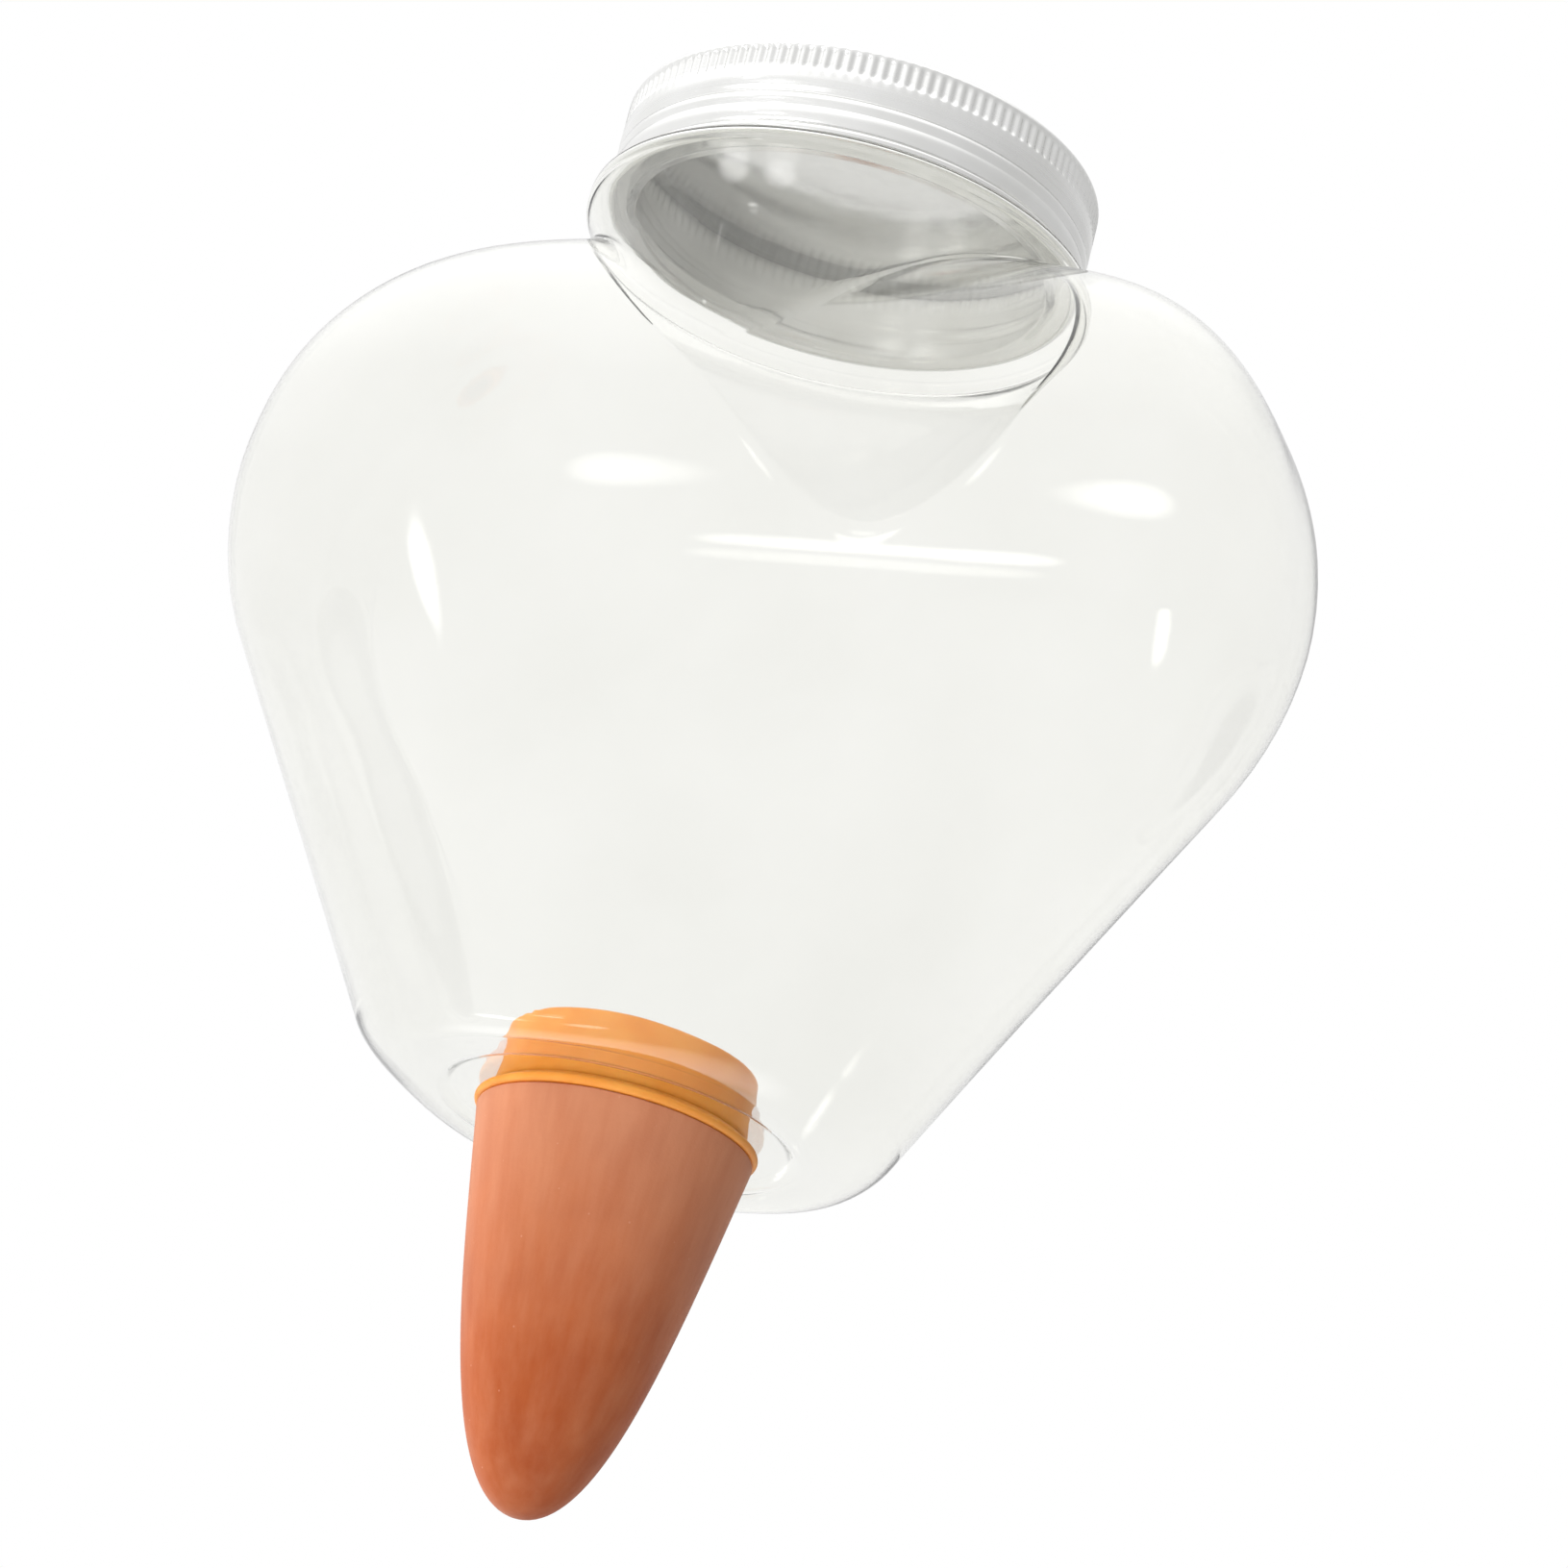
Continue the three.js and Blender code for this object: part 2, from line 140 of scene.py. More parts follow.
SLEEVE_RADIUS = 17.0
SLEEVE_BORE = 15.6
SLEEVE_MIDDLE = 5.0
SLEEVE_TOP = 10.6
SLEEVE_EDGE = 0.2
FLANGE_RADIUS = 20.0
FLANGE_BOTTOM = -1.15
FLANGE_TOP = 0.85
FLANGE_RIM = 1.3
FLANGE_CROWN = 1.6  # from its edge in to where its top is flat
GROOVE_EDGE = 0.1
GRIP_RADIUS = 18.0
GRIP_BOTTOM = 1.35
GRIP_TALL = 3.4
GRIP_LIP = [(-0.2, 0.0), (0.0, 0.2), (0.0, 0.8), (-0.1, 1.0)]  # out from its radius and up from its bottom
COLLAR_RADIUS = 17.5
COLLAR_FOOT = [(0.1, -0.1), (0.0, 0.2)]  # out from its radius and up from the grip's top
COLLAR_EDGE = 0.7

SPIKE_SHOULDER = -1.2
SPIKE_RADIUS = 19.5
SPIKE_LENGTH = 55.4
SPIKE_WALL = 4.0
SPIKE_TAPER = 0.79  # outline's upper handle, as a share of the radius
SPIKE_TAPER_DROP = 0.44  # and as a share of the length
SPIKE_BLUNT = 0.58  # outline's tip handle, as a share of the radius
SHOULDER_EDGE = 0.5
SHOULDER_CUT = 0.15
CASTING_SHRINK = 0.004
CASTING_WAVE = 0.0025
SPIGOT_RADIUS = 15.3
SPIGOT_BORE = 11.3
SPIGOT_MIDDLE = 3.0
SPIGOT_TOP = 8.8
SPIGOT_FILLET = 0.3
SPIGOT_EDGE = 0.5
SPIGOT_BORE_EDGE = 0.4


# Rows and columns of the meshes

JAR_COLUMNS = 336
FLANK_CROWD = 0.25
EDGE_STEP = 6  # degrees between the rows of the base edge
RECESS_ROWS = 8
SIDE_ROWS = 9
BELLY_ROWS = 12
DOME_ROWS = 38
NECK_ROWS = 16
FINISH_ROWS = 22
KNURL_COLUMNS = 6  # to each knurl
SKIRT_ROWS = 20
LINER_COLUMNS = 96
SLEEVE_COLUMNS = 112
SPIKE_COLUMNS = 112
SPIKE_ROWS = 44
HOLLOW_ROWS = 20


# Materials

def colour(code):
    """An sRGB hex colour as linear red, green, blue and alpha."""
    parts = [int(code[i:i + 2], 16) / 255 for i in (0, 2, 4)]
    linear = [c / 12.92 if c <= 0.04045 else ((c + 0.055) / 1.055) ** 2.4 for c in parts]
    return (*linear, 1.0)


def add_node(tree, kind, inputs=None, **settings):
    """Adds a node with its settings. inputs gives each socket a value or another node's output."""
    made = tree.nodes.new(kind)
    for key, value in settings.items():
        setattr(made, key, value)
    for key, value in (inputs or {}).items():
        if isinstance(value, bpy.types.NodeSocket):
            tree.links.new(value, made.inputs[key])
        else:
            made.inputs[key].default_value = value
    return made


def per_mm(size):
    """Texture scale at which one feature of a pattern is this many millimetres across."""
    return 1 / (size * MM)


def new_material(name, **values):
    """A material, its node tree, its shader with these values, and the piece's own coordinates."""
    material = bpy.data.materials.new(name)
    material.use_nodes = True
    tree = material.node_tree
    shader = tree.nodes["Principled BSDF"]
    for key, value in values.items():
        shader.inputs[key.replace("_", " ")].default_value = value
    place = add_node(tree, "ShaderNodeTexCoord").outputs["Object"]
    return material, tree, shader, place


def clear_pet():
    # PET, stretch blow-moulded: bright and clear, with slow waves where the wall's thickness changes
    # and the faint haze of handling
    material, tree, shader, place = new_material(
        "clear_pet", IOR=1.45, Transmission_Weight=1.0)
    haze = add_node(tree, "ShaderNodeTexNoise", {"Vector": place, "Scale": per_mm(26), "Detail": 3.0})
    tint = add_node(tree, "ShaderNodeValToRGB", {"Fac": haze.outputs["Fac"]})
    tint.color_ramp.elements[0].color = colour("fcfcfa")
    tint.color_ramp.elements[1].color = colour("f5f5f2")
    rough = add_node(tree, "ShaderNodeMapRange", {
        "Value": haze.outputs["Fac"], "From Min": 0.35, "From Max": 0.75, "To Min": 0.012, "To Max": 0.045})
    waves = add_node(tree, "ShaderNodeTexNoise", {"Vector": place, "Scale": per_mm(34), "Detail": 1.0})
    bump = add_node(tree, "ShaderNodeBump", {
        "Height": waves.outputs["Fac"], "Strength": 0.12, "Distance": 0.8 * MM})
    tree.links.new(tint.outputs["Color"], shader.inputs["Base Color"])
    tree.links.new(rough.outputs["Result"], shader.inputs["Roughness"])
    tree.links.new(bump.outputs["Normal"], shader.inputs["Normal"])
    path = add_node(tree, "ShaderNodeLightPath")
    open_to_lamps = add_node(tree, "ShaderNodeBsdfTransparent", {"Color": colour("f4f4f2")})
    both = add_node(tree, "ShaderNodeMixShader", {
        0: path.outputs["Is Shadow Ray"], 1: shader.outputs["BSDF"], 2: open_to_lamps.outputs["BSDF"]})
    tree.links.new(both.outputs["Shader"], tree.nodes["Material Output"].inputs["Surface"])
    return material


def thin_pet():
    # The jar's threaded finish, where its wall is even and thin enough to bend nothing seen through it
    material, tree, shader, place = new_material("thin_pet", Metallic=1.0)
    haze = add_node(tree, "ShaderNodeTexNoise", {"Vector": place, "Scale": per_mm(9), "Detail": 3.0})
    tint = add_node(tree, "ShaderNodeValToRGB", {"Fac": haze.outputs["Fac"]})
    tint.color_ramp.elements[0].color = colour("ffffff")
    tint.color_ramp.elements[1].color = colour("f6f6f4")
    rough = add_node(tree, "ShaderNodeMapRange", {
        "Value": haze.outputs["Fac"], "From Min": 0.35, "From Max": 0.75, "To Min": 0.02, "To Max": 0.06})
    tree.links.new(tint.outputs["Color"], shader.inputs["Base Color"])
    tree.links.new(rough.outputs["Result"], shader.inputs["Roughness"])
    # Gloss by the slant alone, the same from both sides, since nothing here bends the light
    slant = add_node(tree, "ShaderNodeLayerWeight", {"Blend": 0.5})
    steep = add_node(tree, "ShaderNodeMath", {0: slant.outputs["Facing"], 1: 5.0}, operation="POWER")
    gloss = add_node(tree, "ShaderNodeMapRange", {
        "Value": steep.outputs["Value"], "To Min": 0.03, "To Max": 1.0})
    through = add_node(tree, "ShaderNodeBsdfTransparent", {"Color": tint.outputs["Color"]})
    both = add_node(tree, "ShaderNodeMixShader", {
        0: gloss.outputs["Result"], 1: through.outputs["BSDF"], 2: shader.outputs["BSDF"]})
    tree.links.new(both.outputs["Shader"], tree.nodes["Material Output"].inputs["Surface"])
    return material


def rolled_aluminium():
    # Aluminium sheet, drawn and rolled on a spinning chuck: bright, with fine lines that run round it
    material, tree, shader, place = new_material("rolled_aluminium", Metallic=1.0)
    split = add_node(tree, "ShaderNodeSeparateXYZ", {"Vector": place})
    out = add_node(tree, "ShaderNodeVectorMath", {0: place, 1: (1.0, 1.0, 0.0)}, operation="MULTIPLY")
    radius = add_node(tree, "ShaderNodeVectorMath", {0: out.outputs["Vector"]}, operation="LENGTH")
    along = add_node(tree, "ShaderNodeMath", {
        0: split.outputs["Z"], 1: radius.outputs["Value"]}, operation="ADD")
    lines = add_node(tree, "ShaderNodeTexNoise", {
        "W": along.outputs["Value"], "Scale": per_mm(0.5), "Detail": 2.0}, noise_dimensions="1D")
    cloud = add_node(tree, "ShaderNodeTexNoise", {"Vector": place, "Scale": per_mm(9), "Detail": 4.0})
    tone = add_node(tree, "ShaderNodeValToRGB", {"Fac": cloud.outputs["Fac"]})
    tone.color_ramp.elements[0].position = 0.3
    tone.color_ramp.elements[0].color = colour("ececea")
    tone.color_ramp.elements[1].position = 0.75
    tone.color_ramp.elements[1].color = colour("f3f3f2")
    rough = add_node(tree, "ShaderNodeMapRange", {
        "Value": lines.outputs["Fac"], "From Min": 0.3, "From Max": 0.7, "To Min": 0.16, "To Max": 0.28})
    bump = add_node(tree, "ShaderNodeBump", {
        "Height": lines.outputs["Fac"], "Strength": 0.12, "Distance": 0.05 * MM})
    tree.links.new(tone.outputs["Color"], shader.inputs["Base Color"])
    tree.links.new(rough.outputs["Result"], shader.inputs["Roughness"])
    tree.links.new(bump.outputs["Normal"], shader.inputs["Normal"])
    return material


def white_lacquer():
    # The lid's inside, roller-coated with thin white lacquer before it was drawn: pale, satin, streaked
    material, tree, shader, place = new_material("white_lacquer", Metallic=0.1, IOR=1.5)
    flow = add_node(tree, "ShaderNodeTexNoise", {"Vector": place, "Scale": per_mm(5), "Detail": 3.0})
    tone = add_node(tree, "ShaderNodeValToRGB", {"Fac": flow.outputs["Fac"]})
    tone.color_ramp.elements[0].color = colour("f2f2f1")
    tone.color_ramp.elements[1].color = colour("fafafa")
    rough = add_node(tree, "ShaderNodeMapRange", {
        "Value": flow.outputs["Fac"], "From Min": 0.3, "From Max": 0.7, "To Min": 0.14, "To Max": 0.24})
    bump = add_node(tree, "ShaderNodeBump", {
        "Height": flow.outputs["Fac"], "Strength": 0.1, "Distance": 0.1 * MM})
    tree.links.new(tone.outputs["Color"], shader.inputs["Base Color"])
    tree.links.new(rough.outputs["Result"], shader.inputs["Roughness"])
    tree.links.new(bump.outputs["Normal"], shader.inputs["Normal"])
    return material


def foil_faced_foam():
    # Foam disc with an aluminium foil face: dull silver, faintly crinkled
    material, tree, shader, place = new_material("foil_faced_foam", Metallic=0.85)
    crinkle = add_node(tree, "ShaderNodeTexNoise", {"Vector": place, "Scale": per_mm(2.5), "Detail": 4.0})
    tone = add_node(tree, "ShaderNodeValToRGB", {"Fac": crinkle.outputs["Fac"]})
    tone.color_ramp.elements[0].color = colour("e6e6e6")
    tone.color_ramp.elements[1].color = colour("f4f4f4")
    rough = add_node(tree, "ShaderNodeMapRange", {
        "Value": crinkle.outputs["Fac"], "From Min": 0.3, "From Max": 0.7, "To Min": 0.12, "To Max": 0.2})
    bump = add_node(tree, "ShaderNodeBump", {
        "Height": crinkle.outputs["Fac"], "Strength": 0.2, "Distance": 0.1 * MM})
    tree.links.new(tone.outputs["Color"], shader.inputs["Base Color"])
    tree.links.new(rough.outputs["Result"], shader.inputs["Roughness"])
    tree.links.new(bump.outputs["Normal"], shader.inputs["Normal"])
    return material


def orange_rubber():
    # Soft moulded rubber: even orange with a satin skin and a fine moulded grain
    material, tree, shader, place = new_material(
        "orange_rubber", IOR=1.5, Subsurface_Weight=0.15, Subsurface_Scale=2 * MM)
    shader.inputs["Subsurface Radius"].default_value = (1.0, 0.4, 0.15)
    cloud = add_node(tree, "ShaderNodeTexNoise", {"Vector": place, "Scale": per_mm(7), "Detail": 4.0})
    tone = add_node(tree, "ShaderNodeValToRGB", {"Fac": cloud.outputs["Fac"]})
    tone.color_ramp.elements[0].position = 0.3
    tone.color_ramp.elements[0].color = colour("ea9030")
    tone.color_ramp.elements[1].position = 0.75
    tone.color_ramp.elements[1].color = colour("f6a64a")
    grain = add_node(tree, "ShaderNodeTexNoise", {"Vector": place, "Scale": per_mm(0.6), "Detail": 2.0})
    rough = add_node(tree, "ShaderNodeMapRange", {
        "Value": grain.outputs["Fac"], "From Min": 0.3, "From Max": 0.7, "To Min": 0.4, "To Max": 0.55})
    bump = add_node(tree, "ShaderNodeBump", {
        "Height": grain.outputs["Fac"], "Strength": 0.15, "Distance": 0.1 * MM})
    tree.links.new(tone.outputs["Color"], shader.inputs["Base Color"])
    tree.links.new(rough.outputs["Result"], shader.inputs["Roughness"])
    tree.links.new(bump.outputs["Normal"], shader.inputs["Normal"])
    return material


def red_earthenware():
    # Terracotta, slip cast and left unglazed: matt, fine-grained, with rubbed streaks along its length,
    # and painted light that makes it paler towards the shoulder and leaves the tip darker as painted shade
    material, tree, shader, place = new_material(
        "red_earthenware", IOR=1.5, Sheen_Weight=0.2, Sheen_Roughness=0.45)
    shader.inputs["Specular IOR Level"].default_value = 0.2
    body = add_node(tree, "ShaderNodeTexNoise", {"Vector": place, "Scale": per_mm(14), "Detail": 5.0})
    clay = add_node(tree, "ShaderNodeValToRGB", {"Fac": body.outputs["Fac"]})
    clay.color_ramp.elements[0].position = 0.3
    clay.color_ramp.elements[0].color = colour("a7502a")
    clay.color_ramp.elements[1].position = 0.75
    clay.color_ramp.elements[1].color = colour("bd6538")
    long = add_node(tree, "ShaderNodeMapping", {"Vector": place, "Scale": (1.0, 1.0, 0.07)})
    rub = add_node(tree, "ShaderNodeTexNoise", {
        "Vector": long.outputs["Vector"], "Scale": per_mm(2.6), "Detail": 6.0, "Roughness": 0.55})
    rubbed = add_node(tree, "ShaderNodeMapRange", {
        "Value": rub.outputs["Fac"], "From Min": 0.35, "From Max": 0.75, "To Min": 0.0, "To Max": 0.16})
    # Painted light: by height alone the clay grows paler towards the shoulder, so the top reads as lit and
    # the tip as shaded
    split = add_node(tree, "ShaderNodeSeparateXYZ", {"Vector": place})
    painted_top_light = add_node(tree, "ShaderNodeMapRange", {
        "Value": split.outputs["Z"], "From Min": -36 * MM, "From Max": -2 * MM,
        "To Min": 0.0, "To Max": 0.42})
    # The rubbed streaks and the painted light from above both mix the clay towards the same pale colour
    rub_and_painted_light = add_node(tree, "ShaderNodeMath", {0: rubbed.outputs["Result"], 1: painted_top_light.outputs["Result"]})
    streaked_and_top_lit = add_node(tree, "ShaderNodeMix", {
        "Factor": rub_and_painted_light.outputs["Value"], 6: clay.outputs["Color"], 7: colour("e8a884")}, data_type="RGBA")
    grit = add_node(tree, "ShaderNodeTexVoronoi", {"Vector": place, "Scale": per_mm(3.2)})
    speck = add_node(tree, "ShaderNodeMapRange", {
        "Value": grit.outputs["Distance"], "From Min": 0.02, "From Max": 0.06,
        "To Min": 0.35, "To Max": 0.0})
    flecked = add_node(tree, "ShaderNodeMix", {
        "Factor": speck.outputs["Result"], 6: streaked_and_top_lit.outputs[2], 7: colour("e0b095")}, data_type="RGBA")
    grain = add_node(tree, "ShaderNodeTexNoise", {
        "Vector": place, "Scale": per_mm(0.7), "Detail": 4.0, "Roughness": 0.65})
    rough = add_node(tree, "ShaderNodeMapRange", {
        "Value": grain.outputs["Fac"], "From Min": 0.3, "From Max": 0.7, "To Min": 0.82, "To Max": 0.97})
    bump = add_node(tree, "ShaderNodeBump", {
        "Height": grain.outputs["Fac"], "Strength": 0.35, "Distance": 0.12 * MM})
    tree.links.new(flecked.outputs[2], shader.inputs["Base Color"])
    tree.links.new(rough.outputs["Result"], shader.inputs["Roughness"])
    tree.links.new(bump.outputs["Normal"], shader.inputs["Normal"])
    return material


# Rings: a circle extruded ring by ring, each ring set to its height and to its radius at each angle

def place_ring(piece, columns, height, radius):
    """Sets the newest ring of a piece in edit mode."""
    edit = bmesh.from_edit_mesh(piece.data)
    edit.verts.ensure_lookup_table()
    for vert in edit.verts[-columns:]:
        angle = math.atan2(vert.co.y, vert.co.x)
        z = height(angle) if callable(height) else height
        r = radius(angle, z) if callable(radius) else radius
        vert.co = Vector((r * math.cos(angle), r * math.sin(angle), z)) * MM
    bmesh.update_edit_mesh(piece.data)


def ringed(name, columns, rows, crowd=0.0, joined=False, start_pole=False, end_pole=False):
    """A piece from rows of (radius, height). crowd gathers columns at the flanks, joined closes the last
    row on the first, and a pole closes an end on the axis."""
    bpy.ops.object.select_all(action="DESELECT")
    bpy.ops.mesh.primitive_circle_add(vertices=columns, radius=1.0)
    piece = bpy.context.object
    piece.name = name
    bpy.ops.object.mode_set(mode="EDIT")
    bpy.ops.mesh.select_all(action="SELECT")
    edit = bmesh.from_edit_mesh(piece.data)
    for vert in edit.verts:
        angle = math.atan2(vert.co.y, vert.co.x)
        angle -= crowd * math.sin(2 * angle)
        vert.co = (math.cos(angle), math.sin(angle), 0)
    place_ring(piece, columns, rows[0][1], rows[0][0])
    for radius, height in rows[1:]:
        bpy.ops.mesh.extrude_region_move()
        place_ring(piece, columns, height, radius)
    if end_pole:
        bpy.ops.mesh.extrude_region_move()
        bpy.ops.mesh.merge(type="CENTER")
    if start_pole:
        bpy.ops.mesh.select_all(action="DESELECT")
        bpy.ops.mesh.select_non_manifold(extend=False)
        bpy.ops.mesh.extrude_region_move()
        bpy.ops.mesh.merge(type="CENTER")
    bpy.ops.mesh.select_all(action="SELECT")
    if joined:
        bpy.ops.mesh.remove_doubles(threshold=0.0001 * MM)
    bpy.ops.mesh.normals_make_consistent(inside=False)
    bpy.ops.object.mode_set(mode="OBJECT")
    return piece


def smooth(piece, degrees):
    """Smooth shading, with edges that turn more than this left crisp."""
    bpy.ops.object.select_all(action="DESELECT")
    piece.select_set(True)
    bpy.context.view_layer.objects.active = piece
    bpy.ops.object.shade_smooth_by_angle(angle=math.radians(degrees))


def dress(piece, material, body, node):
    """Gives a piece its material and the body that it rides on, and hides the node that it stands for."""
    piece.data.materials.clear()
    piece.data.materials.append(material)
    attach(piece, body)
    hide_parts(node)


def lerp(a, b, t):
    return a + (b - a) * t


def clamp(value):
    return min(max(value, 0.0), 1.0)


def arc(r, z, radius, start, end, steps):
    """Rows round an edge whose centre is at (r, z), between two angles in degrees."""
    angles = [math.radians(lerp(start, end, i / steps)) for i in range(steps + 1)]
    return [(r + radius * math.cos(a), z + radius * math.sin(a)) for a in angles]


def smooth_max(a, b, blend):
    """The larger of two lengths, rounded where they differ by less than blend."""
    near = max(blend - abs(a - b), 0) / blend
    return max(a, b) + near * near * blend / 4


# Jar: level superellipse sections of the heart joined to a round neck

def heart_radius(angle, z, inset):
    """Radius of the heart's level section at an angle, this far inside its outline."""
    lobe = LOBE_RADIUS - inset
    foot = BASE_HALF_WIDTH - inset
    run = LOBE_SPREAD - foot
    rise = LOBE_HEIGHT - inset
    slope = math.atan2(rise, run) - math.asin(lobe / math.hypot(run, rise))
    tangent_height = LOBE_HEIGHT - lobe * math.cos(slope)
    if z < tangent_height:
        half_width = foot + (z - inset) / math.tan(slope)
    else:
        half_width = LOBE_SPREAD + math.sqrt(max(lobe ** 2 - (z - LOBE_HEIGHT) ** 2, 0))
    half_depth = lerp(BASE_HALF_DEPTH, SHOULDER_HALF_DEPTH, clamp(z / SHOULDER)) - inset
    over_dome = max(z - SHOULDER, 0) / (DOME_RISE - inset)
    half_depth *= math.sqrt(max(1 - over_dome ** 2, 0))
    edge = lerp(FLANK_EDGE, BASE_EDGE, math.sin(angle) ** 2) - inset
    below = max(edge - (z - inset), 0)
    rounding = edge - math.sqrt(max(edge ** 2 - below ** 2, 0))
    n = lerp(BASE_SQUARENESS, LOBE_SQUARENESS, clamp(z / LOBE_HEIGHT))
    across = abs(math.cos(angle)) / max(half_width - rounding, LEAST_HALF)
    deep = abs(math.sin(angle)) / max(half_depth - rounding, LEAST_HALF)
    return (across ** n + deep ** n) ** (-1 / n)


def neck_radius(z, inset):
    root = lerp(ROOT_RADIUS, WAIST_RADIUS, (z - SHOULDER) / (WAIST_HEIGHT - SHOULDER))
    cone = lerp(WAIST_RADIUS, RING_RADIUS, (z - WAIST_HEIGHT) / (RING_BOTTOM + RING_EDGE - WAIST_HEIGHT))
    return smooth_max(root, cone, WAIST_BLEND) - inset


def thread(angle, z, start, turns, first_turn):
    """Height of a helical ridge at an angle and height, from 0 to 1."""
    turn = (angle / (2 * math.pi)) % 1.0
    best = 0.0
    for whole in range(-1, 3):
        along = turn + whole - first_turn
        if 0 <= along <= turns:
            gap = abs(z - start - THREAD_LEAD * (turn + whole)) / (THREAD_WIDTH / 2)
            fade = min(1.0, THREAD_FADE * along, THREAD_FADE * (turns - along))
            best = max(best, fade * clamp(THREAD_SLOPE - THREAD_SLOPE * gap))
    return best


def jar_wall(inset):
    """Radius of the heart and neck together, this far inside their outline."""
    def radius(angle, z):
        blend = CREASE_BLEND * (1 + CREASE_WIDENS * math.cos(angle) ** 2)
        return smooth_max(heart_radius(angle, z, inset), neck_radius(z, inset), blend)
    return radius


@functools.lru_cache(maxsize=None)
def crease_height(angle, inset):
    """Height at which the neck comes out of the heart, found by halving."""
    low, high = SHOULDER, LOBE_HEIGHT + LOBE_RADIUS - inset
    for _ in range(40):
        middle = (low + high) / 2
        if heart_radius(angle, middle, inset) > neck_radius(middle, inset):
            low = middle
        else:
            high = middle
    return low


def to_crease(inset, share):
    """Height of a row of the dome, for angles rounded so that a column finds its crease once."""
    return lambda angle: lerp(SHOULDER, crease_height(round(angle, 5), inset), 1 - (1 - share) ** 2)


def from_crease(inset, share):
    """Height of a row of the neck, from its crease to the ring."""
    return lambda angle: lerp(crease_height(round(angle, 5), inset), RING_BOTTOM, share ** 2)


def finish_outside(angle, z):
    ridge = thread(angle, z, NECK_THREAD_START, NECK_THREAD_TURNS, 0)
    return FINISH_RADIUS + THREAD_HEIGHT * ridge


def finish_inside(angle, z):
    ridge = thread(angle, z, NECK_THREAD_START, NECK_THREAD_TURNS, 0)
    return FINISH_BORE + THREAD_INSIDE * THREAD_HEIGHT * ridge


def wall_rows(inset):
    """The jar's wall from the base edge to the ring, with rows crowded at the crease and along it."""
    edge = FLANK_EDGE - inset
    turns = [math.radians(degrees) for degrees in range(0, 90, EDGE_STEP)]
    heights = [inset + edge * (1 - math.cos(turn)) for turn in turns]
    heights += [lerp(FLANK_EDGE, BELLY_HEIGHT, i / SIDE_ROWS) for i in range(SIDE_ROWS)]
    heights += [lerp(BELLY_HEIGHT, SHOULDER, i / BELLY_ROWS) for i in range(BELLY_ROWS)]
    heights += [to_crease(inset, i / DOME_ROWS) for i in range(DOME_ROWS + 1)]
    heights += [from_crease(inset, i / NECK_ROWS) for i in range(1, NECK_ROWS + 1)]
    return [(jar_wall(inset), z) for z in heights]


def base_rows(inset):
    """The flat ring of the base, from the recess out to the base edge."""
    def blended(share):
        return lambda angle, z: lerp(RECESS_RADIUS + RECESS_SOFT, heart_radius(angle, z, inset), share)
    return [(blended(share), inset) for share in BASE_LOOPS]


def recess_rows(low, high):
    """The soft step from the recess out to the rim of the base."""
    rows = []
    for i in range(RECESS_ROWS + 1):
        share = i / RECESS_ROWS
        drop = 0.5 - 0.5 * math.cos(math.pi * share)
        rows.append((RECESS_RADIUS + RECESS_SOFT * (2 * share - 1), lerp(high, low, drop)))
    return rows


def make_jar():
    rows = [(HOLE_RADIUS, RECESS_DEPTH + HOLE_EDGE), (HOLE_RADIUS + HOLE_EDGE, RECESS_DEPTH)]
    rows += recess_rows(0, RECESS_DEPTH) + base_rows(0) + wall_rows(0)
    rows += arc(RING_RADIUS - RING_EDGE, RING_BOTTOM + RING_EDGE, RING_EDGE, -40, 0, 4)
    rows += arc(RING_RADIUS - RING_EDGE, RING_TOP - RING_EDGE, RING_EDGE, 0, 90, 6)
    rows += [(FINISH_RADIUS + out, RING_TOP + up) for out, up in FINISH_FOOT]
    rows += [(finish_outside, lerp(*FINISH_SPAN, i / FINISH_ROWS)) for i in range(FINISH_ROWS + 1)]
    rows += arc(FINISH_RADIUS - FINISH_LIP, FINISH_TOP - FINISH_LIP, FINISH_LIP, 15, 90, 4)
    rows += [(FINISH_BORE + FINISH_BORE_LIP, FINISH_TOP), (FINISH_BORE, FINISH_TOP - FINISH_BORE_LIP)]
    rows += [(finish_inside, lerp(*BORE_SPAN, i / FINISH_ROWS)) for i in range(FINISH_ROWS + 1)]
    ceiling = RING_TOP - JAR_WALL
    hollow = RING_RADIUS - JAR_WALL
    rows += [(FINISH_BORE + out, ceiling + up) for out, up in BORE_FOOT]
    rows += arc(hollow - RING_INNER_EDGE, ceiling - RING_INNER_EDGE, RING_INNER_EDGE, 90, 0, 4)
    rows += [(hollow, RING_BOTTOM + RING_EDGE)]
    floor_top = RECESS_DEPTH + JAR_WALL
    inside = recess_rows(JAR_WALL, floor_top) + base_rows(JAR_WALL) + wall_rows(JAR_WALL)
    rows += inside[::-1]
    rows += [(HOLE_RADIUS + HOLE_EDGE, floor_top), (HOLE_RADIUS, floor_top - HOLE_EDGE), rows[0]]
    jar = ringed("clear_jar", JAR_COLUMNS, rows, crowd=FLANK_CROWD, joined=True)
    smooth(jar, degrees=40)
    dress(jar, clear_pet(), "jar", "reservoir")
    jar.data.materials.append(thin_pet())
    for face in jar.data.polygons:
        if face.center.z > THIN_FROM * MM:
            face.material_index = 1


# Lid: a drawn shell with its knurl pressed through, a rolled groove, a bead and a curled rim

def knurl(angle, z):
    """Depth of the knurl at an angle and height, from 0 to 1."""
    flute = 0.5 + 0.5 * math.cos(KNURL_COUNT * angle)
    return flute * (clamp((z - KNURL_BOTTOM) / KNURL_RUN) * clamp((KNURL_TOP - z) / KNURL_RUN))


def lid_side(angle, z):
    return LID_RADIUS - KNURL_DEPTH * knurl(angle, z)


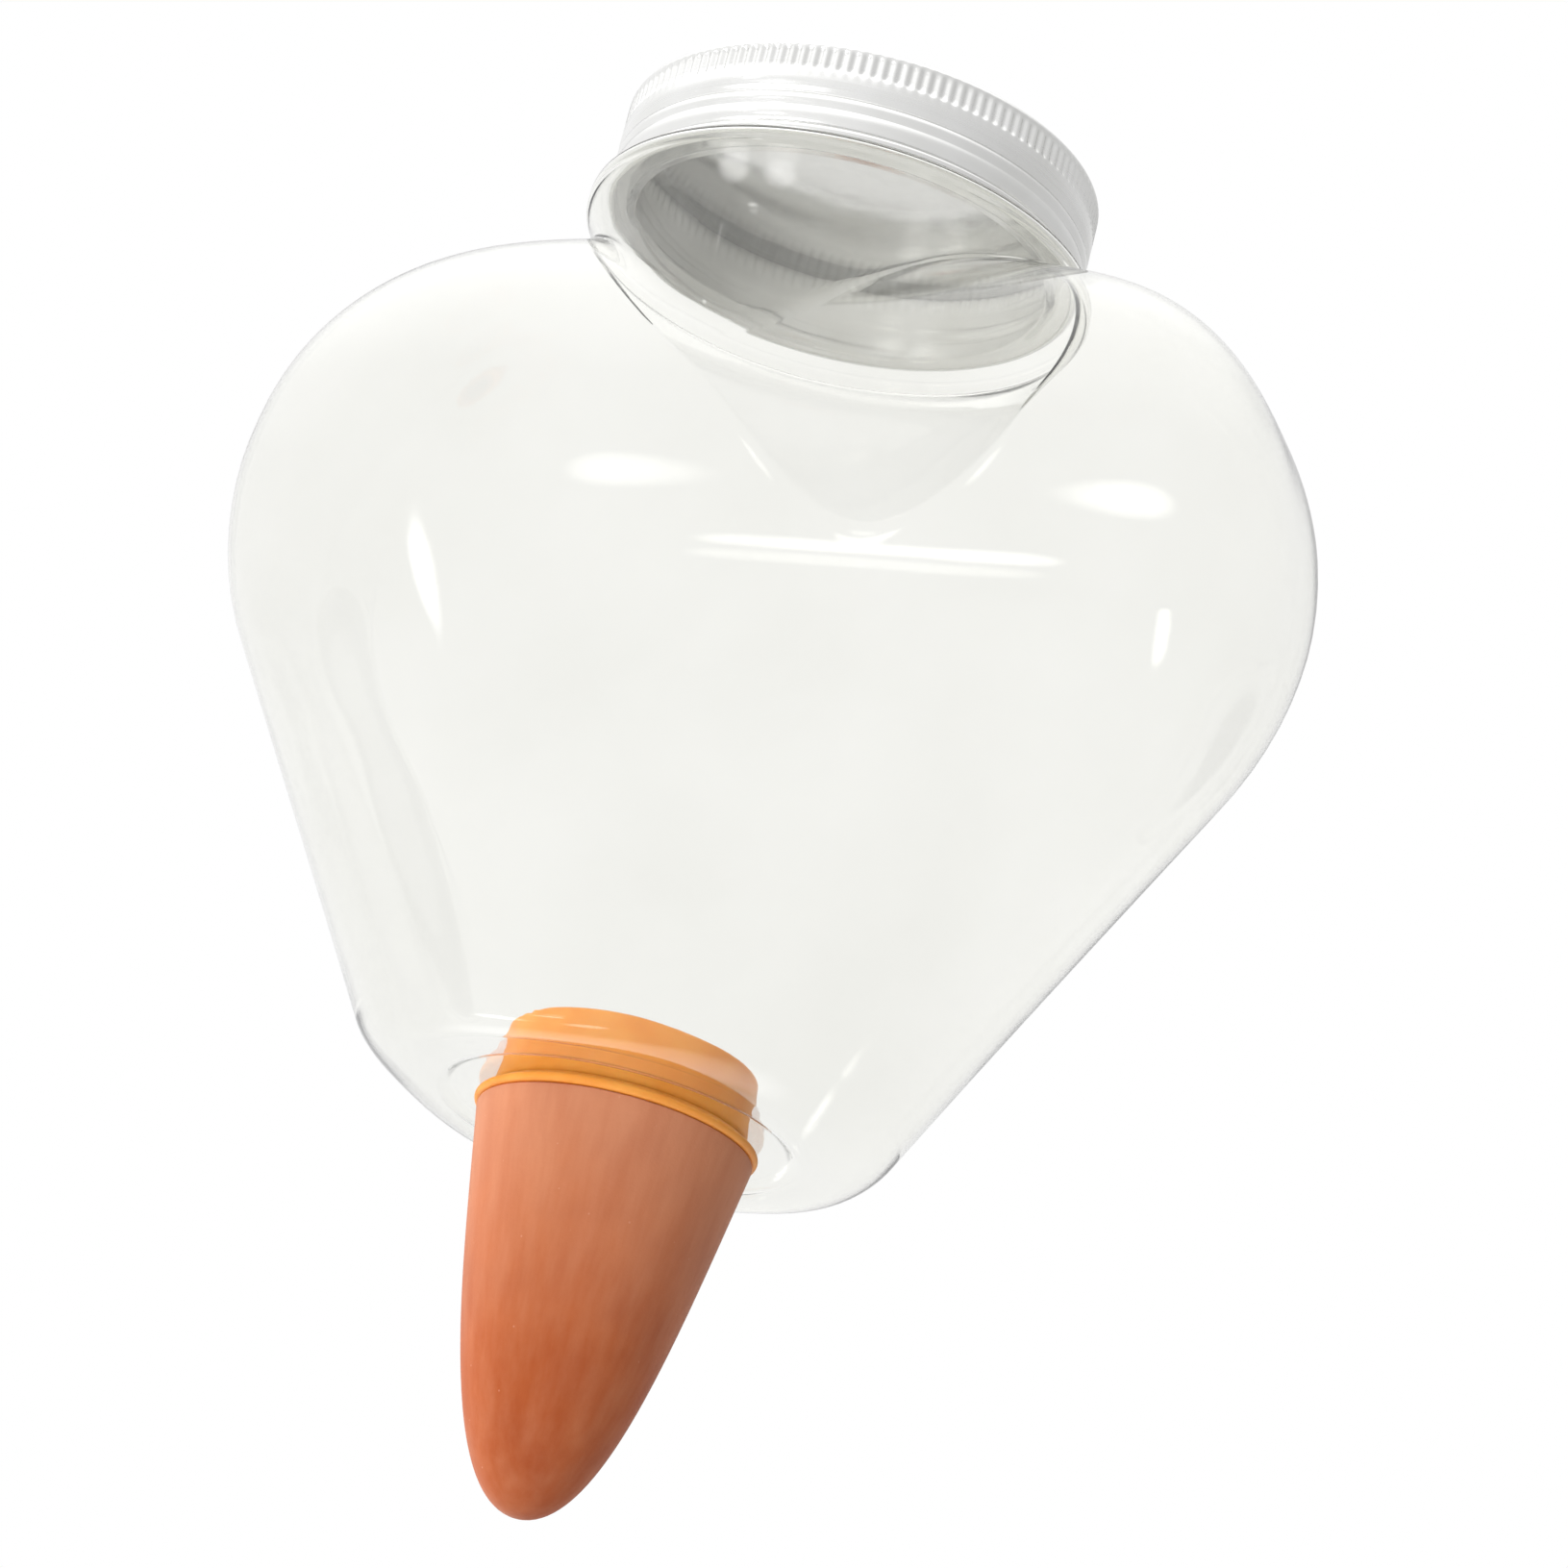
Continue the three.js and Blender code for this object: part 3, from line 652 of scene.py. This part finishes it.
def lid_inside(angle, z):
    start = NECK_THREAD_START - THREAD_LEAD / 2
    first = NECK_THREAD_TURNS - LID_THREAD_TURNS
    ridge = thread(angle, z, start, LID_THREAD_TURNS, first)
    return LID_INNER - KNURL_INSIDE * KNURL_DEPTH * knurl(angle, z) - THREAD_HEIGHT * ridge


def make_lid():
    panel = LID_TOP - LID_PANEL_SINK
    rows = arc(LID_RADIUS - LID_CURL, LID_RIM + LID_CURL, LID_CURL, -120, 75, 8)
    rows += [(LID_RADIUS - depth, z) for depth, z in LID_SKIRT]
    rows += [(lid_side, z) for z in KNURL_HEIGHTS]
    rows += arc(LID_RADIUS - LID_CORNER, LID_TOP - LID_CORNER, LID_CORNER, 8, 90, 5)
    rows += [(LID_PANEL_EDGE, LID_TOP)]
    rows += [(r, panel) for r in (LID_PANEL, DISC_LOOP, DISC_CORE, DISC_HUB)]
    rows += [(r, LID_CEILING) for r in (DISC_HUB, DISC_CORE, DISC_LOOP)]
    rows += LID_INNER_CORNER
    rows += [(lid_inside, z) for z in KNURL_INNER_HEIGHTS]
    rows += [(lid_inside, lerp(*LID_INNER_SKIRT, i / SKIRT_ROWS)) for i in range(SKIRT_ROWS + 1)]
    rows += [LID_INNER_RIM, rows[0]]
    lid = ringed("screw_lid", KNURL_COLUMNS * KNURL_COUNT, rows, joined=True)
    smooth(lid, degrees=50)
    dress(lid, rolled_aluminium(), "lid", "lid")
    lid.data.materials.append(white_lacquer())
    for face in lid.data.polygons:
        x, y, z = face.center / MM
        if math.hypot(x, y) < LACQUER_REACH and z < LACQUER_TOP:
            face.material_index = 1


# Liner: a foam disc under the lid's top

def make_liner():
    rows = [(r, LINER_BOTTOM) for r in (DISC_CORE, DISC_LOOP, LINER_RADIUS - LINER_EDGE)]
    rows += [(LINER_RADIUS, LINER_BOTTOM + LINER_EDGE), (LINER_RADIUS, LINER_TOP - LINER_EDGE)]
    rows += [(LINER_RADIUS - LINER_EDGE, LINER_TOP), (DISC_CORE, LINER_TOP)]
    liner = ringed("liner_disc", LINER_COLUMNS, rows, start_pole=True, end_pole=True)
    smooth(liner, degrees=50)
    dress(liner, foil_faced_foam(), "liner", "lid_liner")


# Sleeve: an outer flange with a round edge, a groove for the base and an inner grip lip

def make_sleeve():
    edge = FLANGE_RIM / 2
    groove = SLEEVE_RADIUS + GROOVE_EDGE
    grip_top = GRIP_BOTTOM + GRIP_TALL
    rows = [(SLEEVE_BORE, FLANGE_BOTTOM + SLEEVE_EDGE), (SLEEVE_BORE + SLEEVE_EDGE, FLANGE_BOTTOM)]
    rows += arc(FLANGE_RADIUS - edge, FLANGE_BOTTOM + edge, edge, -90, 70, 10)
    rows += [(FLANGE_RADIUS - FLANGE_CROWN, FLANGE_TOP), (groove, FLANGE_TOP)]
    rows += [(SLEEVE_RADIUS, FLANGE_TOP + GROOVE_EDGE), (SLEEVE_RADIUS, GRIP_BOTTOM - GROOVE_EDGE)]
    rows += [(groove, GRIP_BOTTOM)]
    rows += [(GRIP_RADIUS + out, GRIP_BOTTOM + up) for out, up in GRIP_LIP]
    rows += [(COLLAR_RADIUS + out, grip_top + up) for out, up in COLLAR_FOOT]
    rows += arc(COLLAR_RADIUS - COLLAR_EDGE, SLEEVE_TOP - COLLAR_EDGE, COLLAR_EDGE, 0, 90, 6)
    rows += [(SLEEVE_BORE + SLEEVE_EDGE, SLEEVE_TOP), (SLEEVE_BORE, SLEEVE_TOP - SLEEVE_EDGE)]
    rows += [(SLEEVE_BORE, SLEEVE_MIDDLE), rows[0]]
    sleeve = ringed("rubber_sleeve", SLEEVE_COLUMNS, rows, joined=True)
    smooth(sleeve, degrees=45)
    dress(sleeve, orange_rubber(), "jar", "sleeve")


# Spike: a slip-cast cone with a spigot, hollow, and a little out of round

def spike_outline(top_radius, top, tip, steps):
    """Points of the cubic curve from the shoulder to the middle of the blunt tip."""
    bend = (SPIKE_TAPER * top_radius, top - SPIKE_TAPER_DROP * (top - tip))
    handles = [(top_radius, top), bend, (SPIKE_BLUNT * top_radius, tip), (0.0, tip)]
    points = []
    for i in range(steps + 1):
        t = i / steps
        weights = [(1 - t) ** 3, 3 * t * (1 - t) ** 2, 3 * t * t * (1 - t), t ** 3]
        points.append(tuple(sum(w * h[k] for w, h in zip(weights, handles)) for k in (0, 1)))
    return points


def uneven(radius):
    """A radius that waves with angle and height, and stays within the round one."""
    def at(angle, z):
        wave = math.sin(2 * angle + 0.05 * z) + 0.6 * math.sin(3 * angle - 0.11 * z)
        return radius * (1 - CASTING_SHRINK + CASTING_WAVE * wave)
    return at


def make_spike():
    tip = SPIKE_SHOULDER - SPIKE_LENGTH
    outline = spike_outline(SPIKE_RADIUS, SPIKE_SHOULDER - SHOULDER_EDGE, tip, SPIKE_ROWS)
    rows = [(uneven(r), z) for r, z in reversed(outline[:-1])]
    rows += [(SPIKE_RADIUS - SHOULDER_CUT, SPIKE_SHOULDER - SHOULDER_CUT)]
    rows += [(SPIKE_RADIUS - SHOULDER_EDGE, SPIKE_SHOULDER)]
    rows += [(SPIGOT_RADIUS + SPIGOT_FILLET, SPIKE_SHOULDER)]
    rows += [(SPIGOT_RADIUS, SPIKE_SHOULDER + SPIGOT_FILLET), (SPIGOT_RADIUS, SPIGOT_MIDDLE)]
    rows += [(SPIGOT_RADIUS, SPIGOT_TOP - SPIGOT_EDGE)]
    rows += [(SPIGOT_RADIUS - SPIGOT_EDGE, SPIGOT_TOP), (SPIGOT_BORE + SPIGOT_BORE_EDGE, SPIGOT_TOP)]
    rows += [(SPIGOT_BORE, SPIGOT_TOP - SPIGOT_BORE_EDGE), (SPIGOT_BORE, SPIGOT_MIDDLE)]
    rows += spike_outline(SPIGOT_BORE, SPIKE_SHOULDER, tip + SPIKE_WALL, HOLLOW_ROWS)[:-1]
    spike = ringed("clay_spike", SPIKE_COLUMNS, rows, start_pole=True, end_pole=True)
    smooth(spike, degrees=50)
    dress(spike, red_earthenware(), "spike", "spike")


make_jar()
make_lid()
make_liner()
make_sleeve()
make_spike()


# Stage: floor, studio room, lamps and the camera

FLOOR_SIZE = 6.0
FLOOR_HEIGHT = -0.27
FLOOR_FADE = (0.2, 1.2)  # radii over which the paper fades into the room
FLOOR_WHITE = 0.65  # share of the room's white at the first of them
ROOM_FILL = 0.4
GREY_SIDE = 0.64
WHITE_SIDE = 1.0
SIDE_FADE = (-0.9, 0.5)  # share of a direction that points left, from the grey side to the white
SEEN_FLOOR = 0.95  # below the horizon, as the jar shows it
HORIZON_FADE = (-0.6, -0.1)  # share of a direction that points up, from the floor to the room
CAMERA_LEFT = (-0.91, -0.41, 0.0)
PANELS = [  # direction, half angle and feather in degrees, strength
    ((-0.585, -0.735, 0.35), 0.6, 0.9, 5.0),
    ((-0.38, -0.92, 0.05), 0.5, 3.0, 4.5),
    ((-0.37, -0.92, 0.16), 0.5, 2.5, 2.0),
    ((-0.20, -0.88, -0.43), 2, 7, 3.0),
    ((-0.54, -0.74, -0.40), 3, 6, 4.0),
    ((-0.20, -0.15, 0.97), 12, 48, 0.7),
]
LOW_PANEL = ((-0.09, 0.20, -0.98), 12, 28, 2.5)  # mirrored in the base edge, not seen through the jar
LAMPS = [  # name, place, target, width and height in metres, watts
    ("key_softbox", (-0.25, -1.02, -0.12), (0, 0, 0.05), (0.5, 0.22), 6),
    ("left_softbox", (-1.00, 0.00, 0.15), (0, 0, 0.05), (0.4, 0.7), 7),
    ("top_softbox", (0.1, -0.35, 0.95), (0, 0, 0.1), (0.7, 0.5), 3.5),
]


def make_floor():
    bpy.ops.object.select_all(action="DESELECT")
    bpy.ops.mesh.primitive_plane_add(size=FLOOR_SIZE, location=(0, 0, FLOOR_HEIGHT))
    floor = bpy.context.object
    floor.name = "studio_floor"
    bpy.ops.object.transform_apply(location=True, rotation=True, scale=True)
    material, tree, shader, place = new_material("studio_paper", Roughness=0.9)
    cloud = add_node(tree, "ShaderNodeTexNoise", {"Vector": place, "Scale": per_mm(220)})
    tone = add_node(tree, "ShaderNodeValToRGB", {"Fac": cloud.outputs["Fac"]})
    tone.color_ramp.elements[0].color = colour("f2f2f0")
    tone.color_ramp.elements[1].color = colour("f6f6f4")
    tree.links.new(tone.outputs["Color"], shader.inputs["Base Color"])
    # To the camera the paper fades into the white room away from the object's shadow
    path = add_node(tree, "ShaderNodeLightPath")
    out = add_node(tree, "ShaderNodeVectorMath", {0: place, 1: (1.0, 1.0, 0.0)}, operation="MULTIPLY")
    radius = add_node(tree, "ShaderNodeVectorMath", {0: out.outputs["Vector"]}, operation="LENGTH")
    fade = add_node(tree, "ShaderNodeMapRange", {
        "Value": radius.outputs["Value"], "From Min": FLOOR_FADE[0], "From Max": FLOOR_FADE[1],
        "To Min": FLOOR_WHITE, "To Max": 1.0})
    to_camera = add_node(tree, "ShaderNodeMath", {
        0: fade.outputs["Result"], 1: path.outputs["Is Camera Ray"]}, operation="MULTIPLY")
    white = add_node(tree, "ShaderNodeEmission", {"Color": colour("ffffff"), "Strength": 1.0})
    both = add_node(tree, "ShaderNodeMixShader", {
        0: to_camera.outputs["Value"], 1: shader.outputs["BSDF"], 2: white.outputs["Emission"]})
    tree.links.new(both.outputs["Shader"], tree.nodes["Material Output"].inputs["Surface"])
    floor.data.materials.append(material)
    floor.visible_glossy = False  # metal and clear plastic show the white room below too
    floor.visible_transmission = False


def soft_panel(tree, away, direction, half_angle, feather, strength):
    """Brightness of a round studio panel with a feathered edge, for rays that leave in a direction."""
    facing = add_node(tree, "ShaderNodeVectorMath", {
        0: away, 1: Vector(direction).normalized()}, operation="DOT_PRODUCT")
    return add_node(tree, "ShaderNodeMapRange", {
        "Value": facing.outputs["Value"], "From Min": math.cos(math.radians(half_angle + feather)),
        "From Max": math.cos(math.radians(half_angle)), "To Max": strength},
        interpolation_type="SMOOTHSTEP").outputs["Result"]


def make_room():
    # White behind the object, and through clear plastic too, a little dimmer below the horizon; an even
    # fill for matt surfaces; and for mirrors a white room that greys to the right. Mirrors and clear
    # plastic, whose back wall mirrors too, see the panels besides.
    world = bpy.data.worlds.new("studio_room")
    bpy.context.scene.world = world
    world.use_nodes = True
    tree = world.node_tree
    tree.nodes.clear()
    path = add_node(tree, "ShaderNodeLightPath")
    away = add_node(tree, "ShaderNodeTexCoord").outputs["Generated"]
    to_left = add_node(tree, "ShaderNodeVectorMath", {0: away, 1: CAMERA_LEFT}, operation="DOT_PRODUCT")
    room = add_node(tree, "ShaderNodeMapRange", {
        "Value": to_left.outputs["Value"], "From Min": SIDE_FADE[0], "From Max": SIDE_FADE[1],
        "To Min": GREY_SIDE, "To Max": WHITE_SIDE})
    matt_or_mirror = add_node(tree, "ShaderNodeMix", {
        "Factor": path.outputs["Is Glossy Ray"], 2: ROOM_FILL, 3: room.outputs["Result"]},
        data_type="FLOAT")
    height = add_node(tree, "ShaderNodeSeparateXYZ", {"Vector": away}).outputs["Z"]
    behind = add_node(tree, "ShaderNodeMapRange", {
        "Value": height, "From Min": HORIZON_FADE[0], "From Max": HORIZON_FADE[1],
        "To Min": SEEN_FLOOR, "To Max": 1.0})
    or_clear = add_node(tree, "ShaderNodeMix", {
        "Factor": path.outputs["Is Transmission Ray"], 2: matt_or_mirror.outputs[0],
        3: behind.outputs["Result"]}, data_type="FLOAT")
    strength = or_clear.outputs[0]
    shiny = add_node(tree, "ShaderNodeMath", {
        0: path.outputs["Is Glossy Ray"], 1: path.outputs["Is Transmission Ray"]}, operation="MAXIMUM")
    mirrored = add_node(tree, "ShaderNodeMath", {
        0: path.outputs["Is Glossy Ray"], 1: path.outputs["Is Reflection Ray"]}, operation="MULTIPLY")
    panels = [(panel, shiny.outputs["Value"]) for panel in PANELS]
    panels.append((LOW_PANEL, mirrored.outputs["Value"]))
    for panel, rays in panels:
        lit = add_node(tree, "ShaderNodeMath", {
            0: soft_panel(tree, away, *panel), 1: rays, 2: strength}, operation="MULTIPLY_ADD")
        strength = lit.outputs["Value"]
    seen = add_node(tree, "ShaderNodeMix", {
        "Factor": path.outputs["Is Camera Ray"], 2: strength, 3: 1.0}, data_type="FLOAT")
    light = add_node(tree, "ShaderNodeBackground", {"Color": colour("ffffff"), "Strength": seen.outputs[0]})
    add_node(tree, "ShaderNodeOutputWorld", {"Surface": light.outputs["Background"]})


def add_lamp(name, place, target, size, power):
    data = bpy.data.lights.new(name, "AREA")
    data.shape = "RECTANGLE"
    data.size, data.size_y = size
    data.energy = power
    lamp = bpy.data.objects.new(name, data)
    bpy.context.scene.collection.objects.link(lamp)
    lamp.visible_glossy = False  # the room's panels are its reflection
    lamp.visible_transmission = False
    look = (Vector(target) - Vector(place)).to_track_quat("-Z", "Y")
    lamp.matrix_world = Matrix.Translation(place) @ look.to_matrix().to_4x4()


def make_camera():
    # The photograph's view: from below, turned and rolled, with the frame shifted off the lens axis
    rise, turn, roll = math.radians(-17.11), math.radians(24.35), math.radians(14.42)
    distance, focal_px, image_px = 0.74074, 5615.98, 1631
    axis_px = (642.56, 1168.08)
    aim = Vector((0, 0, 0.6 * MM))
    back = Vector((math.cos(rise) * math.sin(turn), -math.cos(rise) * math.cos(turn), math.sin(rise)))
    level = Vector((math.cos(turn), math.sin(turn), 0))
    upright = Vector((-math.sin(rise) * math.sin(turn), math.sin(rise) * math.cos(turn), math.cos(rise)))
    right = math.cos(roll) * level + math.sin(roll) * upright
    up = math.cos(roll) * upright - math.sin(roll) * level
    data = bpy.data.cameras.new("photo_camera")
    data.sensor_width = 36.0
    data.lens = focal_px / image_px * data.sensor_width
    data.shift_x = 0.5 - axis_px[0] / image_px
    data.shift_y = axis_px[1] / image_px - 0.5
    data.clip_start = 0.01
    camera = bpy.data.objects.new("photo_camera", data)
    bpy.context.scene.collection.objects.link(camera)
    turned = Matrix((right, up, back)).transposed().to_4x4()
    camera.matrix_world = Matrix.Translation(aim + distance * back) @ turned
    bpy.context.scene.camera = camera


make_floor()
make_room()
for lamp_facts in LAMPS:
    add_lamp(*lamp_facts)
make_camera()
bpy.context.scene.view_settings.view_transform = "Standard"
